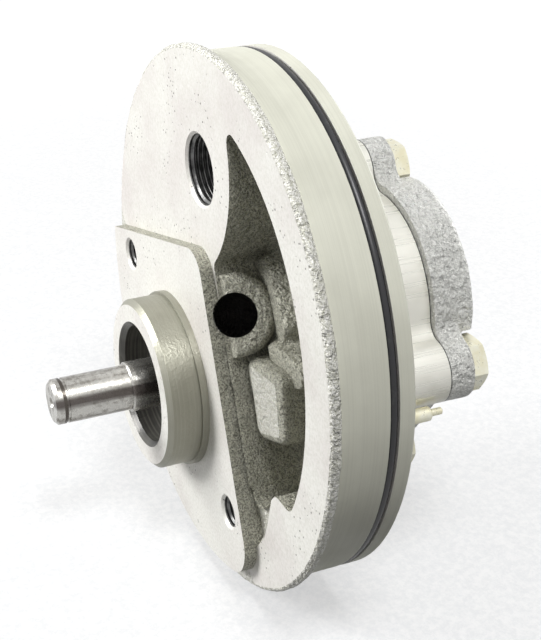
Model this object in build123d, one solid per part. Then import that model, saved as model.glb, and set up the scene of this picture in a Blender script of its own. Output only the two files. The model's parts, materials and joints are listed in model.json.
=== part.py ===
"""Gear pump on a cast mounting disc.

Frame: Y runs along the shafts, from the drive end at -Y to the rear cover at +Y, X is to the right
seen from the drive end and Z is up. The origin is the centre of the pilot rim, in the plane where the
rim meets the back of the lip. All sizes are in millimetres.
"""
from build123d import *
import os
from math import acos, atan2, cos, degrees, hypot, pi, radians, sin, sqrt, tan

# ---- Mounting disc ---------------------------------------------------------------------------------
PILOT_R = 100.0          # machined rim that locates the pump
PILOT_LEN = 28.5         # rim from the lip to the rear face
LIP_STAND = 3.5          # the cast lip stands this far outside the rim
LIP_T = 4.0              # thickness of the lip, front face to shoulder
LIP_ROUND = 1.6
REAR_CHAMFER = 1.0
RING_CORD = 3.2          # diameter of the rim ring's section
RING_SIDE_GAP = 0.15     # ring to groove, each side and below
RING_TO_REAR = 6.2       # from the groove to the rear face
REAR_LAND = 10.0         # machined band round the rear face
REAR_STEP = 2.0          # the cast face between band and seat lies this much lower
SEAT_MARGIN = 3.0        # machined seat round the gear housing's outline

# ---- Front pocket ----------------------------------------------------------------------------------
LAND_W = 16.0            # land between the pocket and the rim
POCKET_DEPTH = 22.0
POCKET_FLOOR_ROUND = 3.5
POCKET_CORNER = 6.0
POCKET_TIP_ROUND = 4.0
POCKET_TOP_ANGLE = 78.5         # upper tip, on the land's edge
POCKET_BELLY = (20.8, 56.0)     # the upper side's arc passes here
POCKET_UP = 7.5                 # how far the side along the pad runs past the pad's upper point
POCKET_SHELF = 11.0             # the lower end stays this far inside the land
POCKET_SHELF_ANGLE = -35.0      # and steps out to it here
HUB_WALL = 2.0           # the pocket starts this far outside the pad's edge
CAST_ROUND = 3.0

# ---- Pad for the drive's flange --------------------------------------------------------------------
PAD_H = 5.0
PAD_INSET = 3.0          # the pad's outer edge lies this far inside the rim
PAD_TOP = ((-97.0, 3.4), (-10.0, 27.4))     # two points on the pad's straight upper edge
PAD_SIDE = ((6.0, 18.0), (36.2, -56.1))     # two points on its straight inner edge
PAD_TOP_ROUND = 11.0
PAD_LOW_ROUND = 15.0
FLANGE_PCD = 123.0       # two tapped holes, one each side of the shaft
FLANGE_ANGLE = 147.5
FLANGE_HOLE_R = 6.0      # M12
FLANGE_HOLE_DEPTH = 20.0
HOLE_CHAMFER = 1.0

# ---- Gear train ------------------------------------------------------------------------------------
MODULE = 3.5
TEETH = 12
PRESSURE = 25.0
BACKLASH = 0.1           # taken off each flank at the pitch circle
ROOT_ROUND = 0.7
TIP_CLEAR = 0.15         # gear tip to chamber wall
END_CLEAR = 0.1          # gear face to disc and cover
DRIVE_ANGLE = -125.0     # direction from the idler to the drive shaft
FACE_W = 40.0

# ---- Shafts, bushes, key ---------------------------------------------------------------------------
JOURNAL_R = 10.0
RUN_CLEAR = 0.04         # journal to bush
SEAT_CLEAR = 0.02        # pieces pressed or seated together
BUSH_WALL = 2.5
DRIVE_BUSH_LEN = 26.0
IDLER_BUSH_LEN = 11.0
REAR_BUSH_LEN = 13.0
NOSE_R = 9.0             # free end of the drive shaft
NOSE_LEN = 30.5
NOSE_OUT = 36.0          # from the boss's front to the shaft's end
SHAFT_CHAMFER = 1.2
CLIP_FROM_END = 4.0
CLIP_W = 1.3
CLIP_DEPTH = 0.5
CENTRE_R = 2.4           # mouth of the centre mark
KEY_W = 6.0
KEY_H = 6.0
KEY_LEN = 30.0
KEY_SINK = 3.5           # how deep the key lies in the shaft
KEY_CLEAR = 0.03

# ---- Seal boss and seal ----------------------------------------------------------------------------
BOSS_R = 34.1
BOSS_H = 16.0            # above the pad
BOSS_CHAMFER = 1.9
BOSS_FOOT_R = 35.2
BOSS_FOOT_H = 2.8
SEAL_R = 23.5            # 20 x 47 x 8 seal
SEAL_W = 8.0
SEAL_DEPTH = 12.0        # open bore in front of the seal
SEAL_SHEET = 1.2
SEAL_FACE_R = 14.0       # hole in the face of the case
SPRING_CORD = 1.5

# ---- Ports -----------------------------------------------------------------------------------------
SCREW_PORT = (-7.3, 58.0)       # centre on the front face
SCREW_PORT_R = 13.22            # G 3/4
SCREW_PORT_DEPTH = 18.0
SIDE_PORT = (17.8, -1.0, 10.0)  # centre of the mouth in the pocket's wall
SIDE_PORT_DIR = (0.82, -0.36, 0.44)
SIDE_PORT_R = 8.3
SIDE_PORT_RING = 2.0
SIDE_PORT_DEPTH = 20.0
SIDE_BOSS_R = 15.5
GALLERY_R = 7.0
GALLERY_BEND = (3.5, -24.0)     # bend of the inlet gallery, from the screwed port
GALLERY_Y = 11.5                # depth of the cast galleries behind the rim's shoulder
CHAMBER_PORT_R = 9.0
CHAMBER_PORT_OUT = 20.0         # from the line of centres

# ---- Bolt boss in the pocket -----------------------------------------------------------------------
BLOCK = ((-25.7, 8.5), (4.3, 12.5), (9.3, -12.5), (-13.7, -21.5))   # corners, from the bolt
BLOCK_TOP = 2.0                 # its face, measured as Y
BLOCK_ROUND = 5.0

# ---- Gear housing, cover, gaskets, bolts -----------------------------------------------------------
GASKET_T = 0.4
BODY_R = 40.0
COVER_OVER = 3.0         # the cover overhangs the housing
FLANGE_T = 9.8
COVER_RAISE = 7.7
COVER_ROUND = 3.0
EAR_BEYOND = 7.0         # ear centres lie this far outside the housing's lobes
EAR_ANGLES = (115.0, -18.0)
EAR_R = 12.5
EAR_BLEND = 7.0
BOLT_R = 6.0
BOLT_AF = 19.0
BOLT_HEAD = 7.5
BOLT_GRIP = 13.5         # thread in the disc
BOLT_TIP_GAP = 2.0
BOLT_HOLE_CLEAR = 0.5
THREAD_CLEAR = 0.05
HEAD_ROOM = 1.8          # scallop round the bolt head
DOWEL_R = 3.0
DOWEL_LEN = 16.0
DOWEL_ANGLE = 50.0

# ---- Locating pin ----------------------------------------------------------------------------------
PIN_FROM_EAR = (12.8, -10.0)     # from the bolt beside it
PIN_R = 2.8
PIN_STAND = 33.0
PIN_SINK = 8.0
PIN_TIP_R = 1.4
PIN_TIP_LEN = 5.0

# ---- Places worked out from the above --------------------------------------------------------------
FRONT_Y = -LIP_T
PAD_Y = FRONT_Y - PAD_H
BOSS_Y = PAD_Y - BOSS_H
SEAL_Y = BOSS_Y + SEAL_DEPTH
SEAL_SEAT_Y = SEAL_Y + SEAL_W
REAR_Y = PILOT_LEN
CHAMBER_LEN = FACE_W + 2 * END_CLEAR
BODY_LEN = CHAMBER_LEN - 2 * GASKET_T
BODY_Y = REAR_Y + GASKET_T
COVER_Y = REAR_Y + CHAMBER_LEN
EAR_Y = COVER_Y + FLANGE_T
GEAR_Y = REAR_Y + END_CLEAR
LAND_R = PILOT_R - LAND_W
FLOOR_Y = FRONT_Y + POCKET_DEPTH
PITCH_R = MODULE * TEETH / 2
TIP_R = PITCH_R + MODULE
ROOT_R = PITCH_R - 1.25 * MODULE
CHAMBER_R = TIP_R + TIP_CLEAR
BUSH_R = JOURNAL_R + RUN_CLEAR + BUSH_WALL
IDLER = (0.0, 0.0)
DRIVE = (2 * PITCH_R * cos(radians(DRIVE_ANGLE)), 2 * PITCH_R * sin(radians(DRIVE_ANGLE)))
MIDDLE = (DRIVE[0] / 2, DRIVE[1] / 2)


def polar(radius, angle, centre=(0.0, 0.0)):
    """Point at an angle in degrees on a circle."""
    return (centre[0] + radius * cos(radians(angle)), centre[1] + radius * sin(radians(angle)))


def opposite(point):
    """The same place on the other half of the pump, turned half round its middle."""
    return (2 * MIDDLE[0] - point[0], 2 * MIDDLE[1] - point[1])


EARS = [polar(BODY_R + EAR_BEYOND, angle) for angle in EAR_ANGLES]
EARS = EARS + [opposite(ear) for ear in EARS]
SIDE_EAR = EARS[1]
PIN_POS = (SIDE_EAR[0] + PIN_FROM_EAR[0], SIDE_EAR[1] + PIN_FROM_EAR[1])
DOWELS = [polar((CHAMBER_R + BODY_R) / 2, DOWEL_ANGLE)]
DOWELS = DOWELS + [opposite(DOWELS[0])]
OUTLET = polar(CHAMBER_PORT_OUT, DRIVE_ANGLE + 90, MIDDLE)
INLET = opposite(OUTLET)
FLANGE_HOLES = [polar(FLANGE_PCD / 2, FLANGE_ANGLE + turn, DRIVE) for turn in (0, 180)]


# ---- Shape helpers ---------------------------------------------------------------------------------
def slab(sketch, y0, y1):
    """Extrude a sketch of (x, z) points from y0 to y1."""
    return extrude(Plane.XZ.offset(-y1) * sketch, y1 - y0)


def rod(radius, at, y0, y1):
    """Cylinder along Y."""
    return slab(Pos(*at) * Circle(radius), y0, y1)


def tube(outer, inner, at, y0, y1):
    """Hollow cylinder along Y."""
    return slab(Pos(*at) * (Circle(outer) - Circle(inner)), y0, y1)


def turned(points, at=(0.0, 0.0)):
    """Solid of revolution about Y from (radius, y) points."""
    return Pos(at[0], 0, at[1]) * revolve(make_face(Polyline(*points, close=True)), Axis.Y)


def drilled(start, end, radius):
    """Round passage between two points, with a ball at its end."""
    along = Vector(*end) - Vector(*start)
    return Plane(start, z_dir=along) * Cylinder(
        radius, along.length, align=(Align.CENTER, Align.CENTER, Align.MIN)) + Pos(*end) * Sphere(radius)


def near(value, target, tolerance=0.01):
    """True when two lengths agree."""
    return abs(value - target) < tolerance


def lobes(radius):
    """Outline of two circles round the shafts and their common tangents."""
    bar = Pos(*MIDDLE) * Rot(0, 0, DRIVE_ANGLE) * Rectangle(2 * PITCH_R, 2 * radius)
    return bar + Pos(*IDLER) * Circle(radius) + Pos(*DRIVE) * Circle(radius)


def eared_outline(radius, ear_radius):
    """The lobes with four bolt ears, their inner corners blended by growing and shrinking back."""
    shape = lobes(radius)
    for ear in EARS:
        shape = shape + Pos(*ear) * Circle(ear_radius)
    return offset(offset(shape, EAR_BLEND), -EAR_BLEND)


def chamber_outline():
    """Gear chamber seen along Y: two bores and the two port recesses beside the mesh."""
    shape = Pos(*IDLER) * Circle(CHAMBER_R) + Pos(*DRIVE) * Circle(CHAMBER_R)
    return shape + Pos(*OUTLET) * Circle(CHAMBER_PORT_R) + Pos(*INLET) * Circle(CHAMBER_PORT_R)


def holes(places, radius):
    """Circles at a list of places."""
    shape = Pos(*places[0]) * Circle(radius)
    for place in places[1:]:
        shape = shape + Pos(*place) * Circle(radius)
    return shape


# ---- Mounting disc ---------------------------------------------------------------------------------
def crossing(line_a, line_b):
    """Where two lines, each given by two points, cross."""
    (ax, ay), (bx, by) = line_a
    (cx, cy), (dx, dy) = line_b
    cross = (bx - ax) * (dy - cy) - (by - ay) * (dx - cx)
    share = ((cx - ax) * (dy - cy) - (cy - ay) * (dx - cx)) / cross
    return (ax + share * (bx - ax), ay + share * (by - ay))


def beyond(line, length):
    """The line's second point moved on by a length."""
    (ax, ay), (bx, by) = line
    share = length / hypot(bx - ax, by - ay)
    return (bx + share * (bx - ax), by + share * (by - ay))


def rounded(shape, corners):
    """Round corners of a flat shape, each given by a nearby point and a radius."""
    for point, radius in corners:
        nearest = shape.vertices().sort_by(lambda v: hypot(v.X - point[0], v.Y - point[1]))[0]
        shape = fillet(nearest, radius)
    return shape


def meets_circle(line, radius):
    """Where a line, followed on past its second point, reaches a circle round the origin."""
    (ax, ay), (bx, by) = line
    length = hypot(bx - ax, by - ay)
    ux, uy = (bx - ax) / length, (by - ay) / length
    nearest = -(ax * ux + ay * uy)
    reach = nearest + sqrt(radius ** 2 - (ax ** 2 + ay ** 2 - nearest ** 2))
    return (ax + reach * ux, ay + reach * uy)


def pad_outline():
    """Raised pad: straight upper and inner edges, the outer edge round with the lip."""
    corner = crossing(PAD_TOP, PAD_SIDE)
    left = beyond((corner, PAD_TOP[0]), PILOT_R)
    low = beyond(PAD_SIDE, PILOT_R)
    side = make_face(Polyline(corner, left, (left[0], low[1]), low, close=True))
    shape = side & Circle(PILOT_R - PAD_INSET)
    end = shape.vertices().sort_by(lambda v: abs(v.X - low[0]) + abs(v.Y - low[1]))[0]
    return rounded(shape, [(corner, PAD_TOP_ROUND), ((end.X, end.Y), PAD_LOW_ROUND)])


def pocket_outline():
    """Front pocket between the rim's land and the hub."""
    top = polar(LAND_R, POCKET_TOP_ANGLE)
    side_len = hypot(PAD_SIDE[1][0] - PAD_SIDE[0][0], PAD_SIDE[1][1] - PAD_SIDE[0][1])
    right = (PAD_SIDE[0][1] - PAD_SIDE[1][1]) * HUB_WALL / side_len
    up = (PAD_SIDE[1][0] - PAD_SIDE[0][0]) * HUB_WALL / side_len
    hub = [(x + right, z + up) for x, z in PAD_SIDE]
    shelf_r = LAND_R - POCKET_SHELF
    upper = beyond((hub[1], hub[0]), POCKET_UP)
    lower = meets_circle(hub, shelf_r)
    shelf = polar(shelf_r, POCKET_SHELF_ANGLE)
    rim_low = (sqrt(LAND_R ** 2 - shelf[1] ** 2), shelf[1])
    half_way = (POCKET_SHELF_ANGLE + degrees(atan2(lower[1], lower[0]))) / 2
    edges = [
        ThreePointArc(top, POCKET_BELLY, upper), Line(upper, lower),
        ThreePointArc(lower, polar(shelf_r, half_way), shelf), Line(shelf, rim_low),
        ThreePointArc(rim_low, (LAND_R, 0), top)]
    corners = [(top, POCKET_TIP_ROUND), (upper, POCKET_TIP_ROUND), (lower, POCKET_CORNER),
               (shelf, POCKET_CORNER), (rim_low, POCKET_CORNER)]
    return rounded(make_face(edges), corners)


def pocket():
    """What the pocket takes out of the disc, with the bosses that stand in it left whole."""
    space = slab(pocket_outline(), FRONT_Y, FLOOR_Y)
    floor = space.faces().sort_by(Axis.Y)[-1]
    space = fillet(floor.edges(), POCKET_FLOOR_ROUND)
    return space - side_port_boss() - bolt_boss()


def side_port_boss():
    """Slanted round boss that carries the side port out of the hub."""
    mouth = Plane(SIDE_PORT, z_dir=SIDE_PORT_DIR)
    boss = mouth * Cylinder(
        SIDE_BOSS_R, 2 * SIDE_PORT_DEPTH, align=(Align.CENTER, Align.CENTER, Align.MAX))
    edge = boss.edges().filter_by(GeomType.CIRCLE).sort_by(Axis.X)[-1]
    boss = fillet(edge, CAST_ROUND)
    return boss - rod(PILOT_R, IDLER, FRONT_Y - PILOT_R, FRONT_Y + CAST_ROUND / 2)


def bolt_boss():
    """Four-sided cast boss round the bolt that comes up under the pocket."""
    outline = fillet(make_face(Polyline(*BLOCK, close=True)).vertices(), BLOCK_ROUND)
    boss = slab(Pos(*SIDE_EAR) * outline, BLOCK_TOP, REAR_Y)
    front = boss.faces().sort_by(Axis.Y)[0]
    return fillet(front.edges(), CAST_ROUND)


def rim_profile():
    """Half section of the disc with its lip and ring groove."""
    groove_floor = PILOT_R - RING_CORD - RING_SIDE_GAP
    groove_end = REAR_Y - RING_TO_REAR
    groove_start = groove_end - RING_CORD - 2 * RING_SIDE_GAP
    return [
        (0, FRONT_Y), (PILOT_R + LIP_STAND, FRONT_Y), (PILOT_R + LIP_STAND, 0), (PILOT_R, 0),
        (PILOT_R, groove_start), (groove_floor, groove_start), (groove_floor, groove_end),
        (PILOT_R, groove_end), (PILOT_R, REAR_Y - REAR_CHAMFER), (PILOT_R - REAR_CHAMFER, REAR_Y),
        (0, REAR_Y)]


def disc_blank():
    """Turned disc with the lip's edges rounded and the lower cast face behind."""
    disc = turned(rim_profile())
    lip = [e for e in disc.edges().filter_by(GeomType.CIRCLE) if near(e.radius, PILOT_R + LIP_STAND)]
    disc = fillet(lip, LIP_ROUND)
    seat = eared_outline(BODY_R + SEAT_MARGIN, EAR_R + SEAT_MARGIN)
    low_face = Circle(PILOT_R - REAR_LAND) - seat
    return disc - slab(low_face, REAR_Y - REAR_STEP, REAR_Y)


def seal_boss():
    """Round boss on the pad, with a low foot ring and a chamfered front."""
    return turned([
        (0, PAD_Y), (BOSS_FOOT_R, PAD_Y), (BOSS_FOOT_R, PAD_Y - BOSS_FOOT_H),
        (BOSS_R, PAD_Y - BOSS_FOOT_H), (BOSS_R, BOSS_Y + BOSS_CHAMFER), (BOSS_R - BOSS_CHAMFER, BOSS_Y),
        (0, BOSS_Y)], DRIVE)


def tapped(radius, at, mouth, depth, chamfer):
    """Blind tapped hole from the front: cylinder, countersunk mouth and drill point."""
    end = mouth + depth
    return turned([
        (0, mouth - 1), (radius + chamfer + 1, mouth - 1), (radius, mouth + chamfer), (radius, end),
        (0, end + radius / 2)], at)


def bolt_tapping(at):
    """Tapped hole from the rear face for a cover bolt."""
    radius = BOLT_R + THREAD_CLEAR
    end = REAR_Y - BOLT_GRIP - BOLT_TIP_GAP
    return turned([(0, REAR_Y), (radius, REAR_Y), (radius, end), (0, end - radius / 2)], at)


def disc_bores():
    """Stepped bore for seal, bush and shaft, and the blind bore of the idler's front bush."""
    room = JOURNAL_R + 2.0
    seal_bore = rod(SEAL_R, DRIVE, BOSS_Y, SEAL_SEAT_Y)
    bush_bore = rod(BUSH_R, DRIVE, REAR_Y - DRIVE_BUSH_LEN, REAR_Y)
    shaft_bore = rod(room, DRIVE, SEAL_SEAT_Y, REAR_Y)
    idler_bore = rod(BUSH_R, IDLER, REAR_Y - IDLER_BUSH_LEN - 1.0, REAR_Y)
    return seal_bore + bush_bore + shaft_bore + idler_bore


def inlet_gallery():
    """Cast passage from the screwed port, past the upper bolt, to the inlet side of the gears."""
    top = (SCREW_PORT[0], GALLERY_Y, SCREW_PORT[1])
    bend = (SCREW_PORT[0] + GALLERY_BEND[0], GALLERY_Y, SCREW_PORT[1] + GALLERY_BEND[1])
    low = (INLET[0], GALLERY_Y, INLET[1])
    mouth = rod(GALLERY_R, INLET, GALLERY_Y, REAR_Y)
    return drilled(top, bend, GALLERY_R) + drilled(bend, low, GALLERY_R) + mouth


def outlet_gallery():
    """Bored side port and the cast passage from it to the outlet side of the gears."""
    mouth = Plane(SIDE_PORT, z_dir=SIDE_PORT_DIR)
    bore = mouth * Cylinder(
        SIDE_PORT_R, SIDE_PORT_DEPTH, align=(Align.CENTER, Align.CENTER, Align.MAX))
    bore = bore + mouth * Cylinder(
        SIDE_PORT_R + SIDE_PORT_RING, PAD_H, align=(Align.CENTER, Align.CENTER, Align.MIN))
    inner = Vector(*SIDE_PORT) - Vector(*SIDE_PORT_DIR).normalized() * SIDE_PORT_DEPTH
    start = (inner.X, inner.Y, inner.Z)
    low = (OUTLET[0], GALLERY_Y, OUTLET[1])
    return bore + Pos(*start) * Sphere(SIDE_PORT_R) + drilled(start, low, GALLERY_R) + rod(
        GALLERY_R, OUTLET, GALLERY_Y, REAR_Y)


def mounting_disc():
    """The main casting."""
    disc = disc_blank() + slab(pad_outline(), PAD_Y, FRONT_Y) + seal_boss()
    disc = disc - pocket() - disc_bores() - inlet_gallery() - outlet_gallery()
    disc = disc - tapped(SCREW_PORT_R, SCREW_PORT, FRONT_Y, SCREW_PORT_DEPTH, HOLE_CHAMFER)
    for hole in FLANGE_HOLES:
        disc = disc - tapped(FLANGE_HOLE_R, hole, PAD_Y, FLANGE_HOLE_DEPTH, HOLE_CHAMFER)
    for ear in EARS:
        disc = disc - bolt_tapping(ear)
    for dowel in DOWELS:
        disc = disc - rod(DOWEL_R + SEAT_CLEAR, dowel, REAR_Y - DOWEL_LEN / 2 - SEAT_CLEAR, REAR_Y)
    return disc - rod(PIN_R + SEAT_CLEAR, PIN_POS, REAR_Y - PIN_SINK - REAR_STEP, REAR_Y)


def rim_o_ring():
    """Ring in the rim groove."""
    centre_r = PILOT_R - RING_CORD / 2 - RING_SIDE_GAP / 2
    centre_y = REAR_Y - RING_TO_REAR - RING_CORD / 2 - RING_SIDE_GAP
    return Pos(0, centre_y, 0) * Rot(90, 0, 0) * Torus(centre_r, RING_CORD / 2)


# ---- Shaft seal ------------------------------------------------------------------------------------
def seal_case():
    """Pressed cup: outer wall and front face."""
    outer = SEAL_R - SEAT_CLEAR
    back = SEAL_SEAT_Y
    return turned([
        (SEAL_FACE_R, SEAL_Y), (outer, SEAL_Y), (outer, back), (outer - SEAL_SHEET, back),
        (outer - SEAL_SHEET, SEAL_Y + SEAL_SHEET), (SEAL_FACE_R, SEAL_Y + SEAL_SHEET)], DRIVE)


def seal_lip():
    """Rubber lip bonded to the case, with the seat of its spring."""
    edge = JOURNAL_R + RUN_CLEAR
    wall = SEAL_R - SEAT_CLEAR - SEAL_SHEET
    behind = SEAL_Y + SEAL_SHEET
    return turned([
        (SEAL_FACE_R, SEAL_Y + 0.3), (SEAL_FACE_R, behind), (wall, behind), (wall, behind + 1.6),
        (SEAL_FACE_R + 1.5, behind + 1.6), (edge + 2.6, behind + 3.2), (edge + 2.6, behind + 5.2),
        (edge + 1.2, behind + 5.2), (edge, behind + 4.0), (edge + 1.2, behind + 1.6),
        (edge + 0.8, SEAL_Y + 0.3)], DRIVE)


def seal_spring():
    """Garter spring round the lip, as a plain ring."""
    lip_back = JOURNAL_R + RUN_CLEAR + 2.6
    at_y = SEAL_Y + SEAL_SHEET + 4.2
    ring = Torus(lip_back + SPRING_CORD / 2 + SEAT_CLEAR, SPRING_CORD / 2)
    return Pos(DRIVE[0], at_y, DRIVE[1]) * Rot(90, 0, 0) * ring


# ---- Bushes ----------------------------------------------------------------------------------------
def bush(at, y0, length):
    """Plain bearing bush in its bore."""
    return tube(BUSH_R - SEAT_CLEAR, JOURNAL_R + RUN_CLEAR, at, y0, y0 + length)


# ---- Gears and shafts ------------------------------------------------------------------------------
def involute(angle):
    """Involute function of a pressure angle in radians."""
    return tan(angle) - angle


def flank(side, steps=6):
    """Points of one tooth flank from the base circle to the tip, the tooth centred on zero."""
    base_r = PITCH_R * cos(radians(PRESSURE))
    half_tooth = pi / (2 * TEETH) - BACKLASH / PITCH_R + involute(radians(PRESSURE))
    points = []
    for step in range(steps):
        radius = base_r + (TIP_R - base_r) * step / (steps - 1)
        turn = half_tooth - involute(acos(base_r / radius))
        points.append((radius, side * degrees(turn)))
    return points


def gear_outline(phase):
    """Involute gear with one tooth centred on the phase angle."""
    rising, falling = flank(-1), flank(1)
    pitch = 360 / TEETH
    edges = []
    for tooth in range(TEETH):
        turn = phase + tooth * pitch
        up = [polar(r, a + turn) for r, a in rising]
        down = [polar(r, a + turn) for r, a in reversed(falling)]
        foot_in = polar(ROOT_R, rising[0][1] + turn)
        foot_out = polar(ROOT_R, falling[0][1] + turn)
        foot_next = polar(ROOT_R, rising[0][1] + turn + pitch)
        edges.append(Line(foot_in, up[0]))
        edges.append(Spline(*up))
        edges.append(ThreePointArc(up[-1], polar(TIP_R, turn), down[0]))
        edges.append(Spline(*down))
        edges.append(Line(down[-1], foot_out))
        edges.append(ThreePointArc(foot_out, polar(ROOT_R, turn + pitch / 2), foot_next))
    shape = make_face(edges)
    feet = [v for v in shape.vertices() if near(hypot(v.X, v.Y), ROOT_R)]
    return fillet(feet, ROOT_ROUND)


def gear(at, phase, keyed):
    """Gear blank between disc and cover, bored for its shaft."""
    shape = gear_outline(phase) - Circle(JOURNAL_R + SEAT_CLEAR)
    if keyed:
        shape = shape - key_outline(KEY_CLEAR)
    return slab(Pos(*at) * shape, GEAR_Y, GEAR_Y + FACE_W)


def key_outline(clearance):
    """Section of the key, or of its keyway with a clearance, on the shaft's upper side."""
    low = JOURNAL_R - KEY_SINK
    return Pos(0, low + KEY_H / 2) * Rectangle(KEY_W + 2 * clearance, KEY_H + 2 * clearance)


def drive_key():
    """Parallel key under the drive gear."""
    start = GEAR_Y + (FACE_W - KEY_LEN) / 2
    return slab(Pos(*DRIVE) * key_outline(0), start, start + KEY_LEN)


def drive_shaft():
    """Stepped shaft from the free end through seal, bushes and gear."""
    end = BOSS_Y - NOSE_OUT
    step = end + NOSE_LEN
    back = COVER_Y + REAR_BUSH_LEN - SEAT_CLEAR
    clip = end + CLIP_FROM_END
    shaft = turned([
        (0, end + CENTRE_R), (CENTRE_R, end), (NOSE_R - SHAFT_CHAMFER, end), (NOSE_R, end + SHAFT_CHAMFER),
        (NOSE_R, clip), (NOSE_R - CLIP_DEPTH, clip), (NOSE_R - CLIP_DEPTH, clip + CLIP_W),
        (NOSE_R, clip + CLIP_W), (NOSE_R, step), (JOURNAL_R - 0.5, step), (JOURNAL_R, step + 0.5),
        (JOURNAL_R, back - SHAFT_CHAMFER), (JOURNAL_R - SHAFT_CHAMFER, back), (0, back)], DRIVE)
    start = GEAR_Y + (FACE_W - KEY_LEN) / 2 - KEY_CLEAR
    return shaft - slab(Pos(*DRIVE) * key_outline(KEY_CLEAR), start, start + KEY_LEN + 2 * KEY_CLEAR)


def idler_shaft():
    """Plain pin of the idler gear, turning in two bushes."""
    start = REAR_Y - IDLER_BUSH_LEN
    back = COVER_Y + REAR_BUSH_LEN - SEAT_CLEAR
    return turned([
        (0, start), (JOURNAL_R - SHAFT_CHAMFER, start), (JOURNAL_R, start + SHAFT_CHAMFER),
        (JOURNAL_R, back - SHAFT_CHAMFER), (JOURNAL_R - SHAFT_CHAMFER, back), (0, back)])


# ---- Housing, cover and gaskets --------------------------------------------------------------------
def plate_holes():
    """Bolt and dowel holes shared by housing, cover and gaskets."""
    return holes(EARS, BOLT_R + BOLT_HOLE_CLEAR) + holes(DOWELS, DOWEL_R + SEAT_CLEAR)


def gasket(y0):
    """Thin gasket with the housing's outline."""
    return slab(eared_outline(BODY_R, EAR_R) - chamber_outline() - plate_holes(), y0, y0 + GASKET_T)


def gear_housing():
    """Machined section that holds the gears."""
    shape = eared_outline(BODY_R, EAR_R) - chamber_outline() - plate_holes()
    return slab(shape, BODY_Y, BODY_Y + BODY_LEN)


def rear_cover():
    """Cast cover: eared flange, raised middle with rounded edge, scallops for the bolt heads."""
    flange = slab(eared_outline(BODY_R + COVER_OVER, EAR_R), COVER_Y, EAR_Y)
    middle = slab(lobes(BODY_R + COVER_OVER), COVER_Y, EAR_Y + COVER_RAISE)
    rear = middle.faces().sort_by(Axis.Y)[-1]
    cover = flange + fillet(rear.edges(), COVER_ROUND)
    head_r = BOLT_AF / 2 / cos(pi / 6) + HEAD_ROOM
    for ear in EARS:
        cover = cover - rod(head_r, ear, EAR_Y, EAR_Y + 2 * COVER_RAISE)
    cover = cover - slab(holes(EARS, BOLT_R + BOLT_HOLE_CLEAR), COVER_Y, EAR_Y + COVER_RAISE)
    cover = cover - slab(holes(DOWELS, DOWEL_R + SEAT_CLEAR), COVER_Y, COVER_Y + DOWEL_LEN / 2)
    return cover - slab(holes([IDLER, DRIVE], BUSH_R), COVER_Y, COVER_Y + REAR_BUSH_LEN + SEAT_CLEAR)


# ---- Fasteners and pins ----------------------------------------------------------------------------
def cover_bolt(at):
    """Hexagon bolt with a chamfered head and a washer face."""
    corner = BOLT_AF / 2 / cos(pi / 6)
    bearing = 0.5
    head = slab(Pos(*at) * RegularPolygon(corner, 6), EAR_Y + bearing, EAR_Y + BOLT_HEAD)
    bevel = corner - BOLT_AF / 2
    round_off = turned([
        (0, EAR_Y), (corner, EAR_Y), (corner, EAR_Y + BOLT_HEAD - bevel / 2),
        (corner - bevel - 0.4, EAR_Y + BOLT_HEAD), (0, EAR_Y + BOLT_HEAD)], at)
    washer = rod(BOLT_AF / 2 - 0.4, at, EAR_Y, EAR_Y + bearing)
    tip = REAR_Y - BOLT_GRIP
    shank = turned([
        (0, tip), (BOLT_R - 1.0, tip), (BOLT_R, tip + 1.0), (BOLT_R, EAR_Y), (0, EAR_Y)], at)
    return (head & round_off) + washer + shank


def cover_bolts():
    """The four bolts that hold cover and housing to the disc."""
    return Compound([cover_bolt(ear).solid() for ear in EARS])


def dowel_pins():
    """Dowels at both joints of the housing, two at each."""
    pins = []
    for joint in (BODY_Y - GASKET_T / 2, COVER_Y - GASKET_T / 2):
        for dowel in DOWELS:
            low, high = joint - DOWEL_LEN / 2 + SEAT_CLEAR, joint + DOWEL_LEN / 2 - SEAT_CLEAR
            pins.append(turned([
                (0, low), (DOWEL_R - 0.5, low), (DOWEL_R, low + 0.5), (DOWEL_R, high - 0.5),
                (DOWEL_R - 0.5, high), (0, high)], dowel).solid())
    return Compound(pins)


def locating_pin():
    """Pin that stands from the disc's rear face, with a thin tip."""
    base = REAR_Y - REAR_STEP - PIN_SINK
    shoulder = REAR_Y - REAR_STEP + PIN_STAND
    return turned([
        (0, base), (PIN_R - 0.5, base), (PIN_R, base + 0.5), (PIN_R, shoulder - 0.6),
        (PIN_R - 0.6, shoulder), (PIN_TIP_R, shoulder), (PIN_TIP_R, shoulder + PIN_TIP_LEN - 0.4),
        (PIN_TIP_R - 0.4, shoulder + PIN_TIP_LEN), (0, shoulder + PIN_TIP_LEN)], PIN_POS)


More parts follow.
